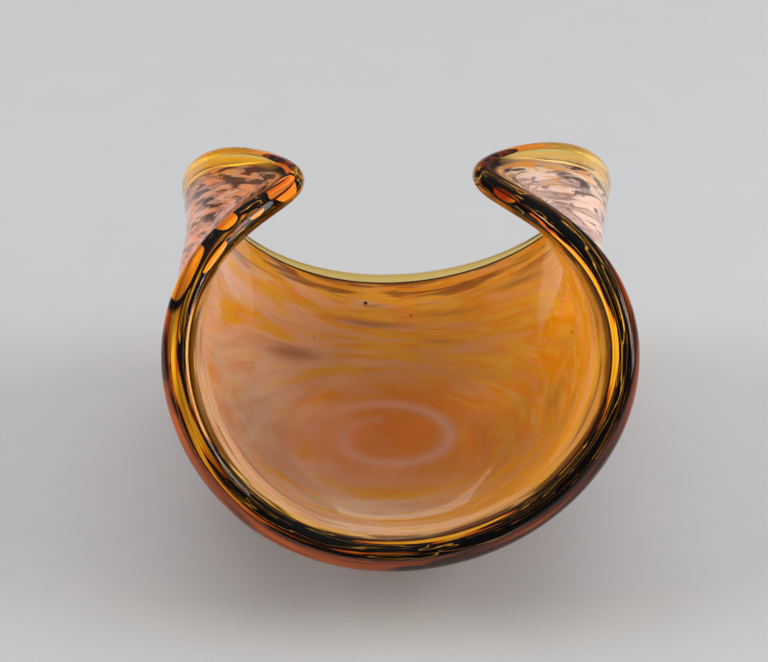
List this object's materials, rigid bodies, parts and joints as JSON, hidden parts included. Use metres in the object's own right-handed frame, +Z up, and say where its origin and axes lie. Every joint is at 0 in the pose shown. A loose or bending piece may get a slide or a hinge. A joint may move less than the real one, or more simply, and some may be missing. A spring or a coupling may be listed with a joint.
{
  "type": "art glass bowl",
  "caption": "Folded free-form art glass bowl: low front and back lips, sides curled up and in to two rounded tips, layered amber, opaline and clear glass with dark streaks.",
  "frame": {"origin": "middle of the flat ground base, on the surface the bowl stands on", "axes": "+Z up; +X to the right, across the two curled tips; +Y from the front lip to the back lip"},
  "size_m": [0.189, 0.217, 0.1513],
  "materials": {
    "amber_glass": "glossy",
    "opaline_glass": "glossy",
    "rust_glass": "glossy",
    "brown_glass": "glossy",
    "clear_glass": "glossy"
  },
  "bodies": {
    "root": {"amber_gather": "amber_glass", "opaline_layer": "opaline_glass", "rust_streaks": "rust_glass", "brown_streaks": "brown_glass", "clear_casing": "clear_glass", "base_pad": "clear_glass", "base_swirl": "opaline_glass"}
  },
  "joints": []
}
